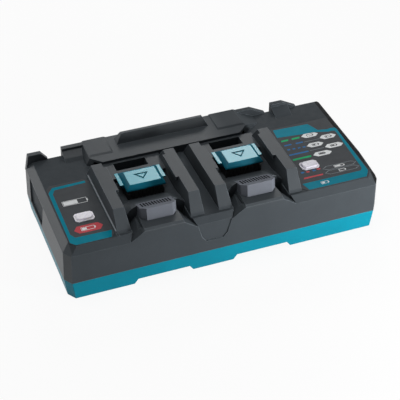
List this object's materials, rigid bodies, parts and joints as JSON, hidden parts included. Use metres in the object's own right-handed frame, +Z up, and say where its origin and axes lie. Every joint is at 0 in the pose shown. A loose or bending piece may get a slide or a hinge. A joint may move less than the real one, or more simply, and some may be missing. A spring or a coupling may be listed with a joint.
{
  "type": "battery charger",
  "caption": "Two-bay charger for slide-on power tool battery packs, with guide rails, sliding terminal covers, fan-fed air outlets and indicator lenses.",
  "frame": {"origin": "centre of the case on the plane of its feet", "axes": "+X along the length to the right as seen from the front, +Y from the front face to the rear face, +Z up"},
  "size_m": [0.342, 0.158, 0.082],
  "materials": {
    "case_teal": "satin moulded",
    "cover_teal": "satin moulded",
    "case_charcoal": "fine textured",
    "outlet_grey": "fine textured",
    "black_plastic": "matte",
    "label_film": "printed film",
    "lens_pale": "milky",
    "contact_copper": "plated",
    "screw_steel": "zinc plated",
    "lead_red": "insulation",
    "board_green": "solder mask",
    "led_clear": "clear epoxy",
    "ferrite": "sintered",
    "copper_wire": "enamelled",
    "capacitor_sleeve": "sleeve",
    "film_yellow": "moulded box",
    "fuse_glass": "clear",
    "heat_sink_metal": "extruded",
    "bush_rubber": "soft"
  },
  "bodies": {
    "base": {"air_duct_left": "black_plastic", "air_duct_right": "black_plastic", "air_outlet_left": "outlet_grey", "air_outlet_right": "outlet_grey", "battery_leads_left": "lead_red", "battery_leads_right": "lead_red", "board_screws": "screw_steel", "bulk_capacitors": "capacitor_sleeve", "buzzer": "black_plastic", "case_screws": "screw_steel", "cord_inlet_bush": "bush_rubber", "cover_spring_left": "screw_steel", "cover_spring_right": "screw_steel", "fan_frame_left": "black_plastic", "fan_frame_right": "black_plastic", "film_capacitor": "film_yellow", "fuse_clips": "contact_copper", "heat_sinks": "heat_sink_metal", "indicator_lens_left": "lens_pale", "indicator_lens_right": "lens_pale", "label_left": "label_film", "label_right": "label_film", "light_board_left": "board_green", "light_board_right": "board_green", "light_board_screws": "screw_steel", "line_choke_core": "ferrite", "line_choke_winding": "copper_wire", "lower_shell": "case_teal", "main_circuit_board": "board_green", "mains_fuse": "fuse_glass", "power_transistors": "black_plastic", "status_leds": "led_clear", "terminal_blades_left": "contact_copper", "terminal_blades_right": "contact_copper", "terminal_block_left": "black_plastic", "terminal_block_right": "black_plastic", "transformer_core": "ferrite", "transformer_winding": "copper_wire", "upper_housing": "case_charcoal"},
    "cover_left": {"terminal_cover_left": "cover_teal"},
    "cover_right": {"terminal_cover_right": "cover_teal"},
    "rotor_left": {"fan_rotor_left": "black_plastic"},
    "rotor_right": {"fan_rotor_right": "black_plastic"}
  },
  "joints": [
    {"name": "cover_slide_left", "type": "slide", "parent": "base", "child": "cover_left", "axis": [0, -1, 0], "range_m": [0, 0.01], "stiffness_N_per_m": 60, "springref_m": -0.005, "deforming": ["cover_spring_left"]},
    {"name": "cover_slide_right", "type": "slide", "parent": "base", "child": "cover_right", "axis": [0, -1, 0], "range_m": [0, 0.01], "stiffness_N_per_m": 60, "springref_m": -0.005, "deforming": ["cover_spring_right"]},
    {"name": "fan_spin_left", "type": "hinge", "parent": "base", "child": "rotor_left", "pos_m": [-0.0685, -0.046, 0.015], "axis": [0, 0, 1], "continuous": true},
    {"name": "fan_spin_right", "type": "hinge", "parent": "base", "child": "rotor_right", "pos_m": [0.0383, -0.046, 0.015], "axis": [0, 0, 1], "continuous": true}
  ]
}
